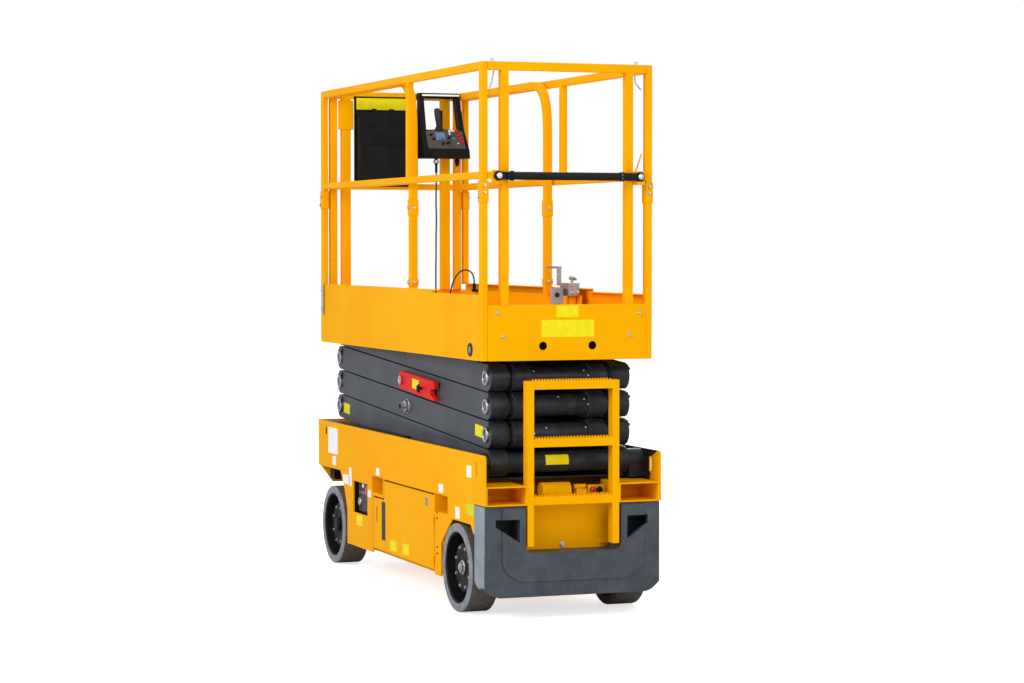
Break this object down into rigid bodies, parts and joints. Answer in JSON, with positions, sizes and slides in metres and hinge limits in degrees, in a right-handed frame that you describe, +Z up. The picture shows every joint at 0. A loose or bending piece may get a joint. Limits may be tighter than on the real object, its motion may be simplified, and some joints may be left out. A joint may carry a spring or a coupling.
{
  "type": "scissor lift",
  "caption": "Narrow electric slab scissor lift with a railed platform, a sliding deck extension, a rear ladder and steered front wheels.",
  "frame": {"origin": "on the ground under the middle of the machine's bounding box", "axes": "+X along the travel direction away from the ladder, +Y to the machine's left, +Z up"},
  "size_m": [2.45, 0.816, 2.333],
  "materials": {
    "frame_paint": "satin",
    "yellow_paint": "gloss",
    "body_paint": "gloss",
    "arm_paint": "satin",
    "pin_steel": "satin",
    "tyre": "matte",
    "rim_paint": "satin",
    "bumper_plastic": "matte",
    "black_plastic": "satin",
    "red_paint": "gloss",
    "galvanised": "satin",
    "cable_rubber": "matte",
    "chrome_rod": "polished"
  },
  "bodies": {
    "chassis": {"side_plate_left": "body_paint", "side_plate_right": "body_paint", "fork_pockets": "body_paint", "chassis_frame": "body_paint", "upper_deck": "body_paint", "roller_tracks": "frame_paint", "wheel_decks": "body_paint", "front_end_plate": "body_paint", "rear_end_plate": "body_paint", "rear_step_boxes": "body_paint", "rear_ladder": "body_paint", "rear_bumper": "bumper_plastic", "front_axle": "frame_paint", "rear_axle": "frame_paint", "ground_control_box": "black_plastic", "ground_controls": "red_paint", "battery_block": "black_plastic", "pump_block": "frame_paint", "pump_motor": "yellow_paint", "nose_box": "black_plastic"},
    "door_left": {"door_left": "body_paint"},
    "door_right": {"door_right": "body_paint"},
    "knuckle_left": {"knuckle_left": "frame_paint"},
    "knuckle_right": {"knuckle_right": "frame_paint"},
    "tie_rod": {"tie_rod": "pin_steel"},
    "lift_cylinder_barrel": {"lift_cylinder_barrel": "frame_paint"},
    "lift_cylinder_rod": {"lift_cylinder_rod": "chrome_rod"},
    "platform": {"platform_deck": "yellow_paint", "platform_rear_panel": "yellow_paint", "guardrail_left": "yellow_paint", "guardrail_right": "yellow_paint", "rear_portal": "yellow_paint"},
    "gate": {"gate_bar": "rim_paint"},
    "extension": {"extension_deck": "yellow_paint", "extension_rail_left": "yellow_paint", "extension_rail_right": "yellow_paint", "extension_front_frame": "yellow_paint", "document_box": "black_plastic", "control_box": "black_plastic", "latch_and_outlet": "galvanised", "control_cable": "cable_rubber", "cable_gland": "black_plastic", "cable_connector": "black_plastic"},
    "outer_arms_1": {"outer_arms_1": "arm_paint"},
    "inner_arms_1": {"inner_arms_1": "arm_paint"},
    "outer_arms_2": {"outer_arms_2": "arm_paint"},
    "inner_arms_2": {"inner_arms_2": "arm_paint"},
    "outer_arms_3": {"outer_arms_3": "arm_paint", "safety_prop": "red_paint"},
    "inner_arms_3": {"inner_arms_3": "arm_paint"},
    "outer_arms_4": {"outer_arms_4": "arm_paint"},
    "inner_arms_4": {"inner_arms_4": "arm_paint"},
    "wheel_front_left": {"tyre_front_left": "tyre", "rim_front_left": "rim_paint"},
    "wheel_front_right": {"tyre_front_right": "tyre", "rim_front_right": "rim_paint"},
    "wheel_rear_left": {"tyre_rear_left": "tyre", "rim_rear_left": "rim_paint"},
    "wheel_rear_right": {"tyre_rear_right": "tyre", "rim_rear_right": "rim_paint"}
  },
  "joints": [
    {"name": "lift", "type": "hinge", "parent": "chassis", "child": "outer_arms_1", "pos_m": [-1.02, 0, 0.645], "axis": [0, -1, 0], "range_deg": [0, 56.47]},
    {"name": "cross_1", "type": "hinge", "parent": "outer_arms_1", "child": "inner_arms_1", "pos_m": [0.0468, 0, 0.70525], "axis": [0, -1, 0], "range_deg": [-112.94, 0]},
    {"name": "rear_pin_1", "type": "hinge", "parent": "inner_arms_1", "child": "outer_arms_2", "pos_m": [-1.02, 0, 0.7655], "axis": [0, -1, 0], "range_deg": [0, 112.94]},
    {"name": "cross_2", "type": "hinge", "parent": "outer_arms_2", "child": "inner_arms_2", "pos_m": [0.0468, 0, 0.82575], "axis": [0, -1, 0], "range_deg": [-112.94, 0]},
    {"name": "rear_pin_2", "type": "hinge", "parent": "inner_arms_2", "child": "outer_arms_3", "pos_m": [-1.02, 0, 0.886], "axis": [0, -1, 0], "range_deg": [0, 112.94]},
    {"name": "cross_3", "type": "hinge", "parent": "outer_arms_3", "child": "inner_arms_3", "pos_m": [0.0468, 0, 0.94625], "axis": [0, -1, 0], "range_deg": [-112.94, 0]},
    {"name": "rear_pin_3", "type": "hinge", "parent": "inner_arms_3", "child": "outer_arms_4", "pos_m": [-1.02, 0, 1.0065], "axis": [0, -1, 0], "range_deg": [0, 112.94]},
    {"name": "cross_4", "type": "hinge", "parent": "outer_arms_4", "child": "inner_arms_4", "pos_m": [0.0468, 0, 1.06675], "axis": [0, -1, 0], "range_deg": [-112.94, 0]},
    {"name": "platform_pin", "type": "hinge", "parent": "inner_arms_4", "child": "platform", "pos_m": [-1.02, 0, 1.127], "axis": [0, -1, 0], "range_deg": [0, 56.48]},
    {"name": "barrel_pin", "type": "hinge", "parent": "inner_arms_1", "child": "lift_cylinder_barrel", "pos_m": [-0.91017, 0, 0.7593], "axis": [0, -1, 0], "range_deg": [0, 121.31]},
    {"name": "rod_slide", "type": "slide", "parent": "lift_cylinder_barrel", "child": "lift_cylinder_rod", "axis": [0.9959, 0, 0.0903], "range_m": [0, 0.77612]},
    {"name": "steer_left", "type": "hinge", "parent": "chassis", "child": "knuckle_left", "pos_m": [0.952, 0.25, 0.229], "axis": [0, 0, 1], "range_deg": [-65, 65]},
    {"name": "steer_right", "type": "hinge", "parent": "chassis", "child": "knuckle_right", "pos_m": [0.952, -0.25, 0.229], "axis": [0, 0, 1], "range_deg": [-65.01, 65.01]},
    {"name": "tie_rod_pin", "type": "hinge", "parent": "knuckle_left", "child": "tie_rod", "pos_m": [0.852, 0.25, 0.3505], "axis": [0, 0, 1], "range_deg": [-65.01, 65.01]},
    {"name": "wheel_front_left_spin", "type": "hinge", "parent": "knuckle_left", "child": "wheel_front_left", "pos_m": [0.952, 0.3415, 0.19], "axis": [0, 1, 0], "continuous": true},
    {"name": "wheel_rear_left_spin", "type": "hinge", "parent": "chassis", "child": "wheel_rear_left", "pos_m": [-0.887, 0.3415, 0.19], "axis": [0, 1, 0], "continuous": true},
    {"name": "door_left_swing", "type": "hinge", "parent": "chassis", "child": "door_left", "pos_m": [-0.5775, 0.404, 0.3085], "axis": [0, 0, 1], "range_deg": [0, 100]},
    {"name": "wheel_front_right_spin", "type": "hinge", "parent": "knuckle_right", "child": "wheel_front_right", "pos_m": [0.952, -0.3415, 0.19], "axis": [0, 1, 0], "continuous": true},
    {"name": "wheel_rear_right_spin", "type": "hinge", "parent": "chassis", "child": "wheel_rear_right", "pos_m": [-0.887, -0.3415, 0.19], "axis": [0, 1, 0], "continuous": true},
    {"name": "door_right_swing", "type": "hinge", "parent": "chassis", "child": "door_right", "pos_m": [-0.5775, -0.404, 0.3085], "axis": [0, 0, -1], "range_deg": [0, 100]},
    {"name": "gate_lift", "type": "hinge", "parent": "platform", "child": "gate", "pos_m": [-1.177, 0.32, 1.857], "axis": [-1, 0, 0], "range_deg": [0, 90]},
    {"name": "extension_slide", "type": "slide", "parent": "platform", "child": "extension", "axis": [1, 0, 0], "range_m": [0, 0.92]}
  ],
  "couplings": [
    {"joint": "cross_1", "follows": "lift", "ratio": -2},
    {"joint": "rear_pin_1", "follows": "lift", "ratio": 2},
    {"joint": "cross_2", "follows": "lift", "ratio": -2},
    {"joint": "rear_pin_2", "follows": "lift", "ratio": 2},
    {"joint": "cross_3", "follows": "lift", "ratio": -2},
    {"joint": "rear_pin_3", "follows": "lift", "ratio": 2},
    {"joint": "cross_4", "follows": "lift", "ratio": -2},
    {"joint": "platform_pin", "follows": "lift", "ratio": 1},
    {"joint": "barrel_pin", "follows": "lift", "ratio": 2.148},
    {"joint": "rod_slide", "follows": "lift", "m_per_rad": 0.7873},
    {"joint": "steer_right", "follows": "steer_left", "ratio": 1},
    {"joint": "tie_rod_pin", "follows": "steer_left", "ratio": -1}
  ]
}
